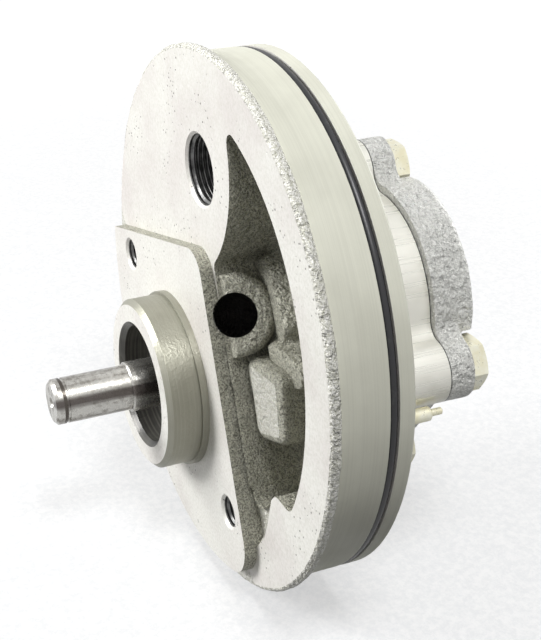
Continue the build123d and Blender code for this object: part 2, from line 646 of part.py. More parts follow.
def pieces():
    """Every node's name and shape."""
    idler_phase = DRIVE_ANGLE
    drive_phase = DRIVE_ANGLE + 180 + 180 / TEETH
    return {
        "mounting_disc": mounting_disc(),
        "rim_o_ring": rim_o_ring(),
        "seal_case": seal_case(),
        "seal_lip": seal_lip(),
        "seal_spring": seal_spring(),
        "front_drive_bush": bush(DRIVE, REAR_Y - DRIVE_BUSH_LEN, DRIVE_BUSH_LEN),
        "front_idler_bush": bush(IDLER, REAR_Y - IDLER_BUSH_LEN, IDLER_BUSH_LEN),
        "rear_drive_bush": bush(DRIVE, COVER_Y, REAR_BUSH_LEN),
        "rear_idler_bush": bush(IDLER, COVER_Y, REAR_BUSH_LEN),
        "body_gasket": gasket(REAR_Y),
        "gear_housing": gear_housing(),
        "cover_gasket": gasket(COVER_Y - GASKET_T),
        "rear_cover": rear_cover(),
        "drive_shaft": drive_shaft(),
        "drive_key": drive_key(),
        "drive_gear": gear(DRIVE, drive_phase, True),
        "idler_shaft": idler_shaft(),
        "idler_gear": gear(IDLER, idler_phase, False),
        "cover_bolts": cover_bolts(),
        "dowel_pins": dowel_pins(),
        "locating_pin": locating_pin(),
    }


os.makedirs("parts", exist_ok=True)
for name, shape in pieces().items():
    export_step(shape, f"parts/{name}.step")
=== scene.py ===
"""Looks of a gear pump on a cast mounting disc, laid out as an add-on and run as a script."""
import json
import math

import bmesh
import bpy
import numpy as np
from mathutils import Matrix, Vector


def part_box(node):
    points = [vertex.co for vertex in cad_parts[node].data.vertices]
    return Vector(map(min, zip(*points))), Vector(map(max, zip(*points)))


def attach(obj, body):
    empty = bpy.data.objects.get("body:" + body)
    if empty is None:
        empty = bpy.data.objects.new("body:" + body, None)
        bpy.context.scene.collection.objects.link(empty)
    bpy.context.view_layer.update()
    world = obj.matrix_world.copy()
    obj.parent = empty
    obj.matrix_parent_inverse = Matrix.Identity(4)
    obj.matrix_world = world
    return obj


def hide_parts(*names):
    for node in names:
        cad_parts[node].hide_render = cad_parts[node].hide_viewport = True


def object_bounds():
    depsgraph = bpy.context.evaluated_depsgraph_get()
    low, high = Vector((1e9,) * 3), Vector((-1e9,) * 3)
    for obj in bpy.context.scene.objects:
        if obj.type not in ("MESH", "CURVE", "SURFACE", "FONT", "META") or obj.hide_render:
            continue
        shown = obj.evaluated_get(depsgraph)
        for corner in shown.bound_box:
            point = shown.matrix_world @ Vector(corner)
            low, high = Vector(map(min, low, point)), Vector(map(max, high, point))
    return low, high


bl_info = {
    "name": "Pump on a mounting disc",
    "version": (1, 0, 0),
    "blender": (4, 5, 0),
    "location": "3D View > Sidebar > Pump",
    "description": "Builds castings, threads, finishes and stage of a gear pump round its packed solids",
    "category": "Object",
}

MM = 0.001
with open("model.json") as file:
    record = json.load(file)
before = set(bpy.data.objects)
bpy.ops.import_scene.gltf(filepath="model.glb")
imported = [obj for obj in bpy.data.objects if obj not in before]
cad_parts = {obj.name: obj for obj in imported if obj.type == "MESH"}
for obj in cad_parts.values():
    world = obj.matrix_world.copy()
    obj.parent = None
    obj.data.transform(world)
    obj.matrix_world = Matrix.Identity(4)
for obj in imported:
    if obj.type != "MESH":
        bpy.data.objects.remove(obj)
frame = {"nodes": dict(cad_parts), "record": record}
CAD_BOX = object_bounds()


# ---- Places read from the frame --------------------------------------------------------------------
def mount(name):
    """A mount of the record by its name."""
    return next(m for m in frame["record"]["mounts"] if m["name"] == name)


def mount_radius(name):
    """A round mount's radius in metres."""
    return mount(name)["dims"]["r_mm"] * MM


DISC = frame["nodes"]["mounting_disc"]
DRIVE_AT = np.array(mount("drive_shaft_nose")["pos_m"])
SHAFT_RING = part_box("drive_shaft")[0].y + 0.0037     # Y of the groove near the shaft's end, painted dark as shade
BOSS_R = mount_radius("boss_pilot")
BOSS_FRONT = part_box("mounting_disc")[0].y
RIM_R = mount_radius("pilot_rim")
RIM_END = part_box("body_gasket")[0].y
SIDE_PORT = mount("side_port")

# ---- Levels of the disc along Y, and the places on it that no mount states -------------------------
DISC_FRONT = -0.004                                 # milled front face
PAD_FRONT = -0.009                                  # face of the raised pad
BLOCK_FRONT = 0.002                                 # flat face of the boss in the pocket
POCKET_FLOOR = 0.018
REAR_LOW = RIM_END - 0.002                          # sunk face behind the rim
SEAL_BORE_R = 0.0235
FLANGE_TURN = math.radians(147.5)                   # line of the flange holes, from +X towards +Z
LEVEL_GAP = 1e-5                                    # a face this near a level lies on it
SKIN = 0.0001                                       # and this far from one it is clearly off it


# ---- Array noise -----------------------------------------------------------------------------------
def lattice(cells, seed):
    """Fixed pseudo-random value in 0..1 for whole-number cells: a sine of a weighted sum, its fraction."""
    mixed = cells @ np.array([127.1, 311.7, 74.7]) + seed * 19.19
    value = np.sin(mixed) * 43758.5453
    return value - np.floor(value)


def value_noise(points, size, seed=0):
    """Smooth noise in -1..1: lattice values blended over each cell of the given size by 3t^2 - 2t^3."""
    scaled = points / size
    cell = np.floor(scaled)
    part = scaled - cell
    part = part * part * (3 - 2 * part)
    total = np.zeros(len(points))
    for corner in np.ndindex(2, 2, 2):
        step = np.array(corner)
        weight = np.prod(np.where(step == 1, part, 1 - part), axis=1)
        total += weight * lattice(cell + step, seed)
    return total * 2 - 1


def cast_noise(points, grain, seed=0):
    """Rough casting: a broad swell, the grain and a finer grain, added in the shares 0.5, 0.35, 0.15."""
    broad = value_noise(points, grain * 5, seed)
    coarse = value_noise(points, grain * 1.6, seed + 1)
    fine = value_noise(points, grain * 0.8, seed + 2)
    return 0.5 * broad + 0.35 * coarse + 0.15 * fine


# ---- Mesh helpers ----------------------------------------------------------------------------------
WELD = 1e-6                                         # points this near each other are one
SHARP_ANGLE = math.radians(32)
TRUE_FLAT = 0.99999                                 # Y of the normal of a face that is flat across Y


def new_piece(name, mesh, body="root"):
    """Put a mesh into the scene as a piece that rides on a body."""
    piece = bpy.data.objects.new(name, mesh)
    bpy.context.scene.collection.objects.link(piece)
    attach(piece, body)
    return piece


def grid_mesh(name, points, close_u=False, close_v=False):
    """Mesh of quads over a grid of points with shape (u, v, 3)."""
    rows, columns = points.shape[:2]
    index = np.arange(rows * columns).reshape(rows, columns)
    if close_u:
        index = np.vstack([index, index[:1]])
    if close_v:
        index = np.hstack([index, index[:, :1]])
    quads = np.stack([index[:-1, :-1], index[1:, :-1], index[1:, 1:], index[:-1, 1:]], axis=-1)
    mesh = bpy.data.meshes.new(name)
    mesh.from_pydata(points.reshape(-1, 3).tolist(), [], quads.reshape(-1, 4).tolist())
    mesh.polygons.foreach_set("use_smooth", np.ones(len(mesh.polygons), dtype=bool))
    return mesh


def merged_copy(node):
    """A copy of a node's mesh with its loose triangles welded, as a bmesh."""
    work = bmesh.new()
    work.from_mesh(node.data)
    bmesh.ops.remove_doubles(work, verts=work.verts, dist=WELD)
    return work


def with_parts(faces):
    """Faces together with their edges and vertices, for a cut."""
    return faces + edges_of(faces) + list(dict.fromkeys(v for f in faces for v in f.verts))


def edges_of(faces):
    """The edges of some faces, each once and in the faces' order."""
    return list(dict.fromkeys(e for f in faces for e in f.edges))


def finish_mesh(work, name):
    """Turn a bmesh into a smooth mesh, with edges sharp where the surface turns by more than the sharp
    angle and round every flat that looks along Y."""
    work.normal_update()
    for face in work.faces:
        face.smooth = True
    for edge in work.edges:
        level = [abs(f.normal.y) > TRUE_FLAT for f in edge.link_faces]
        edge.smooth = edge.calc_face_angle(0.0) < SHARP_ANGLE and any(level) == all(level)
    mesh = bpy.data.meshes.new(name)
    work.to_mesh(mesh)
    work.free()
    return mesh


# ---- Shader helpers --------------------------------------------------------------------------------
class Shader:
    """A material under construction: one Principled shader fed by noise on Object coordinates."""

    def __init__(self, name, metallic, roughness, specular=0.5):
        self.material = bpy.data.materials.new(name)
        self.material.use_nodes = True
        self.nodes = self.material.node_tree.nodes
        self.links = self.material.node_tree.links
        self.shader = self.nodes["Principled BSDF"]
        self.shader.inputs["Metallic"].default_value = metallic
        self.shader.inputs["Roughness"].default_value = roughness
        self.shader.inputs["Specular IOR Level"].default_value = specular
        self.place = self.nodes.new("ShaderNodeTexCoord").outputs["Object"]
        self.height = None

    def add(self, kind, settings=(), **inputs):
        """Add a node, with its settings as pairs and its inputs as sockets or values."""
        node = self.nodes.new(kind)
        for key, value in settings:
            setattr(node, key, value)
        for key, value in inputs.items():
            self.feed(node.inputs[key], value)
        return node

    def feed(self, socket, value):
        """Link a socket or set a plain value."""
        if isinstance(value, bpy.types.NodeSocket):
            self.links.new(value, socket)
        else:
            socket.default_value = value

    def stretched(self, scale, offset=(0, 0, 0)):
        """Object coordinates scaled along each axis, then moved."""
        return self.add("ShaderNodeMapping", Vector=self.place, Scale=scale, Location=offset).outputs[0]

    def noise(self, scale, detail=3.0, roughness=0.55, vector=None, distortion=0.0):
        """Fractal noise in 0..1, with scale in cells per metre."""
        node = self.add("ShaderNodeTexNoise", Vector=vector or self.place, Scale=scale, Detail=detail,
                        Roughness=roughness, Distortion=distortion)
        return node.outputs["Fac"]

    def spots(self, scale):
        """Distance to the nearest of some scattered points."""
        return self.add("ShaderNodeTexVoronoi", Vector=self.place, Scale=scale).outputs["Distance"]

    def between(self, value, low, high, out_low=0.0, out_high=1.0):
        """Smooth step of a value from out_low at low to out_high at high."""
        node = self.add("ShaderNodeMapRange", [("interpolation_type", "SMOOTHSTEP")], Value=value)
        limits = {"From Min": low, "From Max": high, "To Min": out_low, "To Max": out_high}
        for key, number in limits.items():
            node.inputs[key].default_value = number
        return node.outputs[0]

    def math(self, operation, a, b=0.0):
        """A sum, product or other operation on two values."""
        node = self.nodes.new("ShaderNodeMath")
        node.operation = operation
        self.feed(node.inputs[0], a)
        self.feed(node.inputs[1], b)
        return node.outputs[0]

    def mix(self, factor, a, b):
        """Blend two colours."""
        node = self.nodes.new("ShaderNodeMix")
        node.data_type = "RGBA"
        self.feed(node.inputs["Factor"], factor)
        for socket, value in ((node.inputs[6], a), (node.inputs[7], b)):
            self.feed(socket, value if isinstance(value, bpy.types.NodeSocket) else (*value, 1.0))
        return node.outputs[2]

    def reach(self):
        """Distance from the object's upright axis, in metres."""
        node = self.add("ShaderNodeVectorMath", [("operation", "LENGTH")])
        self.feed(node.inputs[0], self.stretched((1, 1, 0)))
        return node.outputs["Value"]

    def turn_about(self, centre):
        """Angle about an axis along Y through a centre, in radians from +X towards +Z, and the Y there."""
        moved = self.stretched((1, 1, 1), (-centre[0], 0, -centre[2]))
        split = self.add("ShaderNodeSeparateXYZ", Vector=moved)
        return self.math("ARCTAN2", split.outputs["Z"], split.outputs["X"]), split.outputs["Y"]

    def bump(self, height, depth):
        """Add relief of a depth in metres over what is there."""
        node = self.add("ShaderNodeBump", Height=height, Distance=depth, Strength=1.0)
        if self.height is not None:
            self.links.new(self.height, node.inputs["Normal"])
        self.height = node.outputs["Normal"]

    def done(self, colour, roughness=None):
        """Connect colour, roughness and relief."""
        self.links.new(colour, self.shader.inputs["Base Color"])
        if roughness is not None:
            self.links.new(roughness, self.shader.inputs["Roughness"])
        if self.height is not None:
            self.links.new(self.height, self.shader.inputs["Normal"])
        return self.material


# ---- Finishes --------------------------------------------------------------------------------------
def machined_face(colours):
    """Milled iron face: pale, with casting pores, faint stains and fine cutter marks."""
    s = Shader("machined_face", 0.15, 0.42)
    stain = s.between(s.noise(28, 4, 0.6), 0.35, 0.7)
    colour = s.mix(stain, colours.face, colours.face_stain)
    grain = s.noise(900, 3, 0.6)
    colour = s.mix(s.between(grain, 0.3, 0.75, 0.0, 0.35), colour, colours.face_dark)
    where = s.between(s.noise(45, 2, 0.5), 0.5, 0.62)
    pore = s.math("MULTIPLY", s.between(s.spots(420), 0.10, 0.2, 1.0, 0.0), where)
    colour = s.mix(pore, colour, colours.pore)
    marks = s.noise(1.0, 2, 0.5, s.stretched((160, 1, 2600)))
    s.bump(marks, 0.00002)
    s.bump(grain, 0.00004)
    s.bump(s.math("SUBTRACT", 1.0, pore), 0.00025)
    rough = s.between(grain, 0.3, 0.7, 0.36, 0.5)
    return s.done(colour, rough)


def turned_face(name, colours, tone, metallic, roughness, grain=0.00004):
    """Turned iron: fine rings round the axis, slight stains and a grain of the given height."""
    s = Shader(name, metallic, roughness, 0.25)
    along = s.noise(1.0, 2, 0.6, s.stretched((6, 1500, 6)))
    stain = s.between(s.noise(35, 3, 0.6), 0.35, 0.75, 0.0, 0.3)
    colour = s.mix(stain, tone, colours.face_dark)
    colour = s.mix(s.between(along, 0.4, 0.7, 0.0, 0.2), colour, colours.face_dark)
    s.bump(along, 0.00002)
    s.bump(s.noise(900, 3, 0.6), grain)
    rough = s.between(s.noise(60, 3, 0.6), 0.3, 0.7, roughness - 0.08, roughness + 0.08)
    return s.done(colour, rough)


def rough_casting(name, light, dark, grain=1500, depth=0.001, metallic=0.3, roughness=0.4):
    """Sand-cast iron: a gritty grain of so many cells a metre over broader lumps, its pits painted darker
    and its high spots lighter, painted shade and painted highlight that follow the relief.
    """
    s = Shader(name, metallic, roughness)
    fine = s.noise(grain, 4, 0.65, distortion=0.3)
    broad = s.noise(grain * 0.1, 3, 0.6)
    # Painted shade and highlight: the fine noise that also sinks the pits colours them dark and the high
    # spots light.
    colour = s.mix(s.between(fine, 0.40, 0.56), dark, light)
    colour = s.mix(s.between(broad, 0.4, 0.75, 0.0, 0.35), colour, dark)
    s.bump(s.noise(grain * 0.33, 3, 0.55), depth * 3)
    s.bump(fine, depth * 0.7)
    rough = s.between(fine, 0.35, 0.7, roughness + 0.14, roughness - 0.12)
    return s.done(colour, rough)


def polished_steel(colours):
    """Ground shaft steel: fine rings, lengthwise streaks of brown film, a painted dark reflection along one
    side and painted shade in the groove near the end. The band's middle, where the painted reflection is
    darkest, is where the angle plus half the streaks is 0.55."""
    s = Shader("polished_steel", 0.85, 0.22)
    rings = s.noise(1.0, 3, 0.6, s.stretched((10, 2600, 10)))
    streak = s.noise(1.0, 3, 0.5, s.stretched((260, 14, 260)))
    mottle = s.noise(420, 4, 0.65)
    turn, along = s.turn_about(DRIVE_AT)
    # Painted reflection: a dark band at a fixed angle round the shaft stands in for a dark reflection along
    # one side.
    wavy = s.math("ADD", turn, s.math("MULTIPLY", streak, 0.5))
    from_painted_reflection = s.math("ABSOLUTE", s.math("SUBTRACT", wavy, 0.55))
    band = s.between(from_painted_reflection, 0.10, 0.34, 1.0, 0.0)
    film = s.between(s.math("ADD", streak, s.math("MULTIPLY", mottle, 0.6)), 0.72, 0.98, 0.0, 0.8)
    colour = s.mix(film, colours.shaft, colours.shaft_film)
    colour = s.mix(s.math("MULTIPLY", band, 0.9), colour, colours.shaft_painted_reflection)
    # Painted shade: the groove near the end is darkened with the pore colour.
    from_ring = s.math("ABSOLUTE", s.math("SUBTRACT", along, SHAFT_RING))
    ring = s.between(from_ring, 0.0006, 0.0009, 1.0, 0.0)
    colour = s.mix(ring, colour, colours.pore)
    s.bump(rings, 0.000012)
    rough = s.between(mottle, 0.35, 0.65, 0.18, 0.32)
    return s.done(colour, rough)


def machined_housing(colours):
    """Bright milled section with faint yellow tint and cutter lines along the shafts."""
    s = Shader("machined_housing", 0.4, 0.3)
    lines = s.noise(1.0, 3, 0.6, s.stretched((900, 12, 900)))
    stain = s.between(s.noise(40, 3, 0.6), 0.4, 0.7)
    colour = s.mix(stain, colours.housing, colours.housing_stain)
    s.bump(lines, 0.00003)
    rough = s.between(lines, 0.3, 0.7, 0.24, 0.4)
    return s.done(colour, rough)


def zinc_plate(colours):
    """Yellow-passivated zinc with soft blotches and scuffed patches."""
    s = Shader("zinc_plate", 0.55, 0.32)
    blotch = s.between(s.noise(160, 4, 0.65), 0.35, 0.68)
    colour = s.mix(blotch, colours.zinc, colours.zinc_pale)
    s.bump(s.noise(1400, 3, 0.6), 0.00004)
    rough = s.between(s.noise(500, 3, 0.6), 0.3, 0.7, 0.26, 0.44)
    return s.done(colour, rough)


def black_rubber(colours):
    """Moulded rubber, slightly shiny, with dust in faint streaks."""
    s = Shader("black_rubber", 0.0, 0.42)
    dust = s.between(s.noise(220, 4, 0.7), 0.55, 0.8, 0.0, 0.5)
    colour = s.mix(dust, colours.rubber, colours.rubber_dust)
    s.bump(s.noise(1800, 2, 0.5), 0.00003)
    return s.done(colour, s.between(dust, 0.0, 0.5, 0.36, 0.6))


def plain_metal(name, tone, dark, roughness, pitch=1500):
    """Small turned or ground metal part, with so many rings a metre."""
    s = Shader(name, 0.95, roughness)
    lines = s.noise(1.0, 2, 0.6, s.stretched((20, pitch, 20)))
    colour = s.mix(s.between(s.noise(300, 3, 0.6), 0.35, 0.7), tone, dark)
    s.bump(lines, 0.00002)
    return s.done(colour, s.between(lines, 0.3, 0.7, roughness - 0.07, roughness + 0.08))


# ---- Settings --------------------------------------------------------------------------------------
def colour_property(name, description, default):
    """A colour the user can change."""
    return bpy.props.FloatVectorProperty(
        name=name, description=description, default=default, size=3, min=0, max=1, subtype="COLOR")


def length_property(name, description, default, high=0.05):
    """A length the user can change, in metres."""
    return bpy.props.FloatProperty(
        name=name, description=description, default=default, min=0, max=high, precision=5, unit="LENGTH")


class PumpColours(bpy.types.PropertyGroup):
    """Colours of the pump's finishes."""

    face: colour_property("Face", "Milled iron face", (0.86, 0.85, 0.80))
    face_stain: colour_property("Face stain", "Faint stain on milled iron", (0.75, 0.71, 0.68))
    face_dark: colour_property("Face grain", "Darker grain of machined iron", (0.48, 0.475, 0.40))
    # This colour and the other hollow colours below darken the castings' pits: painted shade that follows
    # the relief.
    lip_dark: colour_property("Lip hollows", "Hollows of the lip's casting", (0.58, 0.575, 0.49))
    # Also used for painted shade: the shaft's groove and, with the bore colour, the disc's deep inner
    # faces.
    pore: colour_property("Pore", "Casting pore in a milled face", (0.09, 0.08, 0.07))
    rim: colour_property("Rim", "Turned pilot rim", (0.74, 0.74, 0.635))
    boss: colour_property("Boss", "Turned seal boss", (0.29, 0.285, 0.235))
    # Painted shade: near black for the bore in front of the seal and for the disc's deep inner faces.
    bore: colour_property("Seal bore", "Oily bore in front of the seal", (0.06, 0.058, 0.055))
    # Painted shade: these pocket colours are darker than the same iron's on the block's face and the scoop.
    cast_light: colour_property("Pocket high spots", "High spots of the pocket", (0.60, 0.59, 0.49))
    cast_dark: colour_property("Pocket hollows", "Hollows of the pocket", (0.25, 0.247, 0.205))
    cover_light: colour_property("Cover high spots", "High spots of the cover", (0.92, 0.92, 0.88))
    cover_dark: colour_property("Cover hollows", "Hollows of the cover", (0.66, 0.66, 0.63))
    shaft: colour_property("Shaft", "Polished shaft steel", (0.54, 0.53, 0.50))
    shaft_film: colour_property("Shaft film", "Light brown film on the shaft", (0.17, 0.155, 0.135))
    # Painted reflection: the dark colour laid along one side of the shaft.
    shaft_painted_reflection: colour_property("Shaft band", "Dark film along one side of the shaft", (0.075, 0.06, 0.055))
    housing: colour_property("Housing", "Milled housing", (0.82, 0.81, 0.74))
    housing_stain: colour_property("Housing stain", "Stain on the housing", (0.70, 0.69, 0.61))
    zinc: colour_property("Zinc", "Yellow zinc plating", (0.78, 0.74, 0.54))
    zinc_pale: colour_property("Pale zinc", "Pale zinc plating", (0.86, 0.85, 0.72))
    rubber: colour_property("Rubber", "Black rubber and gaskets", (0.018, 0.018, 0.02))
    rubber_dust: colour_property("Rubber dust", "Dust on the rubber", (0.10, 0.10, 0.095))
    bronze: colour_property("Bronze", "Bushes", (0.62, 0.44, 0.22))
    bronze_dark: colour_property("Dark bronze", "Stain on the bushes", (0.42, 0.28, 0.13))
    ground: colour_property("Ground steel", "Gears, key, dowels and spring", (0.52, 0.52, 0.51))
    ground_dark: colour_property("Dark ground steel", "Stain on the ground steel", (0.34, 0.34, 0.34))
    seal: colour_property("Seal case", "Pressed case of the shaft seal", (0.50, 0.49, 0.46))
    seal_dark: colour_property("Dark seal case", "Stain on the seal's case", (0.30, 0.29, 0.27))
    # Painted shade: both thread colours are darkened as if the threads lay in shade inside their holes.
    thread: colour_property("Thread", "Cut threads", (0.17, 0.17, 0.165))
    thread_deep_shade: colour_property("Dark thread", "Oil in the cut threads", (0.05, 0.05, 0.05))


class PumpSizes(bpy.types.PropertyGroup):
    """Sizes of the detail that the solids leave out."""

    cell: length_property("Casting cell", "Spacing of the net over the pocket's casting", 0.0013)
    relief: length_property("Pocket relief", "Height of the pocket's casting grain", 0.00038, 0.002)
    lip_relief: length_property("Lip relief", "Height of the lip's casting grain", 0.0003, 0.002)
    cover_relief: length_property("Cover relief", "Height of the cover's casting grain", 0.0003, 0.002)
    port_pitch: length_property("Port thread pitch", "Pitch of the screwed port's thread", 0.001814)
    port_depth: length_property("Port thread depth", "Height of the screwed port's thread", 0.00116)
    hole_pitch: length_property("Hole thread pitch", "Pitch of the flange holes' threads", 0.00175)
    hole_depth: length_property("Hole thread depth", "Height of the flange holes' threads", 0.00095)


# ---- Finish zones of the mounting disc -------------------------------------------------------------
(MACHINED, POCKET, LIP, TURNED_RIM, TURNED_BOSS, REAR_CAST, INNER, SEAL_BORE, PAD_WALL,
 BLOCK_FACE, SCOOPED) = range(11)
# How far a normal lies along Y: on a wall, a chamfer, a slope, a level face and a dead level one.
UPRIGHT, HALF_LEVEL, SLOPED, LEVEL, DEAD_LEVEL = 0.1, 0.5, 0.95, 0.99, 0.999
BOSS_FOOT = 0.003                                   # the seal boss's own faces reach this far round it
BOSS_FACE = 0.0003                                  # its milled face is what lies this near its front
PAD_RISE = 0.0055                                   # what stands out further than the pad is boss
RIM_EDGE = 0.0045                                   # the turned rim's faces reach this far inwards
REAR_EDGE = 0.0095                                  # and the turned land behind it this far
LIP_RISE = 0.0002                                   # the lip's faces lie this far outside the rim
DEEP = 0.001                                        # inner faces this far behind the front are dark
DEEP_EDGE = 0.009                                   # inner faces this far behind the front are painted near black as shade
HOLE_REACH = 0.008                                  # a wall this near a flange hole's axis is its own
PAD_SIDE = ((0.006, 0.018), (0.0362, -0.0561))      # X and Z of two points on the pad's inner edge
LEDGE = 0.0022                                      # width of the cast ledge beside it
LEDGE_END = 0.02                                    # and how far inside the rim it ends
POCKET_EDGE = 0.002                                 # the pocket's faces are this far inside the rim
POCKET_SIDE = 0.03                                  # and its floor lies beyond this X


def face_data(work):
    """Centres and normals of all faces as arrays."""
    centres = np.array([f.calc_center_median()[:] for f in work.faces])
    normals = np.array([f.normal[:] for f in work.faces])
    return centres, normals


def axis_distance(points, at, along):
    """Distance of points from a slanted axis: the length of their offset less its part along the axis."""
    along = np.asarray(along) / np.linalg.norm(along)
    offset = points - np.asarray(at)
    return np.linalg.norm(offset - np.outer(offset @ along, along), axis=1)


def flange_hole_places():
    """Places of the two flange holes, on a line through the shaft's axis."""
    pattern = mount("flange_holes")
    centre = np.array(pattern["pos_m"])
    way = np.array([math.cos(FLANGE_TURN), 0, math.sin(FLANGE_TURN)])
    arm = way * pattern["dims"]["pcd_mm"] * MM / 2
    return [centre + arm, centre - arm]


def pocket_faces(work):
    """Faces of the front pocket: those reached from its floor without crossing the front face or the
    side port."""
    work.faces.ensure_lookup_table()
    centres, normals = face_data(work)
    x, y, z = centres.T
    inside = (y > DISC_FRONT + LEVEL_GAP) & (np.hypot(x, z) < RIM_R - POCKET_EDGE)
    port = axis_distance(centres, SIDE_PORT["pos_m"], SIDE_PORT["axis"])
    inside &= port > SIDE_PORT["dims"]["r_mm"] * MM + SKIN
    floor = inside & (abs(y - POCKET_FLOOR) < LEVEL_GAP) & (normals[:, 1] < -LEVEL) & (x > POCKET_SIDE)
    reached = set(np.flatnonzero(floor).tolist())
    edge = [work.faces[i] for i in reached]
    while edge:
        face = edge.pop()
        for side in face.edges:
            for other in side.link_faces:
                if other.index not in reached and inside[other.index]:
                    reached.add(other.index)
                    edge.append(other)
    return [work.faces[i] for i in sorted(reached)]


def beside_pad(points):
    """Distance of points from the pad's inner edge on the pocket's side, and 1 on the pad's side."""
    start, end = np.array(PAD_SIDE)
    along = (end - start) / np.linalg.norm(end - start)
    offset = points[:, [0, 2]] - start
    side = offset[:, 1] * along[0] - offset[:, 0] * along[1]
    return np.where(side > 0, side, 1.0)


def disc_zones(work):
    """Give every face of the disc its finish: a number in the zone layer, later its material slot."""
    layer = work.faces.layers.int.new("zone")
    centres, normals = face_data(work)
    x, y, z = centres.T
    radius = np.hypot(x, z)
    from_drive = np.hypot(x - DRIVE_AT[0], z - DRIVE_AT[2])
    facing = abs(normals[:, 1])
    by_boss = from_drive < BOSS_R + BOSS_FOOT
    zone = np.full(len(centres), MACHINED)
    zone[(radius > RIM_R - RIM_EDGE) & (y > 0) & (facing < SLOPED)] = TURNED_RIM
    zone[(radius > RIM_R + LIP_RISE) & (y < SKIN)] = LIP
    zone[by_boss & (y < DISC_FRONT - SKIN) & (facing < DEAD_LEVEL)] = TURNED_BOSS
    zone[by_boss & (y < DISC_FRONT - PAD_RISE)] = TURNED_BOSS
    zone[(y > REAR_LOW - LEVEL_GAP) & (radius < RIM_R - REAR_EDGE) & (facing < DEAD_LEVEL)] = REAR_CAST
    zone[by_boss & (y < BOSS_FRONT + BOSS_FACE) & (facing > HALF_LEVEL)] = MACHINED
    zone[(abs(y - REAR_LOW) < LEVEL_GAP) & (facing > LEVEL)] = REAR_CAST
    # Deep inner faces are finished in painted shade.
    deep = (y > DISC_FRONT + DEEP) & (y < RIM_END - SKIN)
    zone[deep & (radius < RIM_R - DEEP_EDGE) & (zone == MACHINED)] = INNER
    holes = [np.hypot(x - hole[0], z - hole[2]) for hole in flange_hole_places()]
    wall = (facing < UPRIGHT) & (y < DISC_FRONT - LEVEL_GAP) & ~by_boss
    zone[wall & (np.min(holes, axis=0) > HOLE_REACH)] = PAD_WALL
    ledge = (abs(y - DISC_FRONT) < LEVEL_GAP) & (beside_pad(centres) < LEDGE)
    zone[ledge & (radius < RIM_R - LEDGE_END) & (z < PAD_SIDE[0][1])] = PAD_WALL
    # The seal bore is finished in painted shade.
    in_bore = (y > BOSS_FRONT + SKIN) & (y < RIM_END) & (from_drive < SEAL_BORE_R + SKIN)
    zone[in_bore] = SEAL_BORE
    for face, value in zip(work.faces, zone.tolist()):
        face[layer] = value
    # The block's level face gets the lighter copy of the casting, painted light; the rest of the pocket the
    # darker copy, painted shade.
    for face in pocket_faces(work):
        level = abs(face.calc_center_median().y - BLOCK_FRONT) < LEVEL_GAP and face.normal.y < -LEVEL
        face[layer] = BLOCK_FACE if level else POCKET
    mark_scoop(work, layer)
    return layer


# ---- Relief on a zone ------------------------------------------------------------------------------
REFINE_ROUNDS = 9
LONG_EDGE = 1.45                                    # an edge so many cells long is split
FLAT_ANGLE = 0.03                                   # and one that turns less than this may be swapped


def refine(work, zone, cell):
    """Split the long edges of a zone's faces and turn its flat diagonals until its net is even and fine."""
    layer = work.faces.layers.int["zone"]
    for _ in range(REFINE_ROUNDS):
        faces = [f for f in work.faces if f[layer] == zone]
        long_edges = [e for e in edges_of(faces) if e.calc_length() > cell * LONG_EDGE]
        if not long_edges:
            break
        bmesh.ops.subdivide_edges(work, edges=long_edges, cuts=1)
        faces = [f for f in work.faces if f[layer] == zone and len(f.verts) > 3]
        bmesh.ops.triangulate(work, faces=faces)
        faces = [f for f in work.faces if f[layer] == zone]
        flat = [e for e in edges_of(faces)
                if len(e.link_faces) == 2 and e.calc_face_angle(1.0) < FLAT_ANGLE
                and all(f[layer] == zone for f in e.link_faces)]
        bmesh.ops.beautify_fill(work, faces=faces, edges=flat)


def roughen(work, zone, height, grain, seed):
    """Move a zone's inner points along their normals by height times casting noise, its border staying
    put and nothing leaving the box of the solids."""
    layer = work.faces.layers.int["zone"]
    work.normal_update()
    inner = [v for v in work.verts if v.link_faces and all(f[layer] == zone for f in v.link_faces)]
    places = np.array([v.co[:] for v in inner])
    normals = np.array([v.normal[:] for v in inner])
    moved = places + normals * (height * cast_noise(places, grain, seed))[:, None]
    moved = np.clip(moved, np.array(CAD_BOX[0]), np.array(CAD_BOX[1]))
    for vertex, place in zip(inner, moved):
        vertex.co = place


def zone_verts(work, zone):
    """A zone's vertices and their places."""
    layer = work.faces.layers.int["zone"]
    verts = [v for v in work.verts if any(f[layer] == zone for f in v.link_faces)]
    return verts, np.array([v.co[:] for v in verts])


# ---- Forms of the disc that its solid leaves out: outlines in X and Z, levels along Y --------------
WEB = ((0.027, 0.0), (0.0385, 0.002), (0.0555, 0.002), (0.0555, -0.0035), (0.033, -0.0146))
WEB_LEVEL = 0.008                                   # step beside the boss in the pocket
WEB_FOOT = ((0.052, 0.006), (0.090, 0.009), (0.090, -0.006), (0.052, -0.006))
FOOT_LEVEL = 0.0145                                 # its lower end towards the rim
PORT_STEP = ((0.002, 0.022), (0.0127, 0.0275), (0.0195, 0.0240), (0.0335, 0.0090), (0.0300, -0.0040),
             (0.0126, -0.0110))
PORT_LEVEL = 0.012                                  # step round the side port's boss
STEP_TAPER = 0.003                                  # width of the steps' slopes
SLIVER = 2e-5                                       # edges shorter than this are closed up
SCOOP = ((0.0575, -0.043), (0.0535, -0.058), (0.0505, -0.066), (0.0435, -0.075), (0.0325, -0.060))
SCOOP_OUTER = 4                                     # its first points run along its outer, sloping edge
SCOOP_DEPTH = 0.003                                 # cast hollow below the pocket
SCOOP_TAPER = 0.0025
BORE_LEAD = 0.002                                   # depth of the lead-in at the seal bore's mouth
BORE_MOUTH = 0.0254                                 # and its radius there
BORE_INNER = 0.02                                   # nothing of the mouth lies nearer the axis
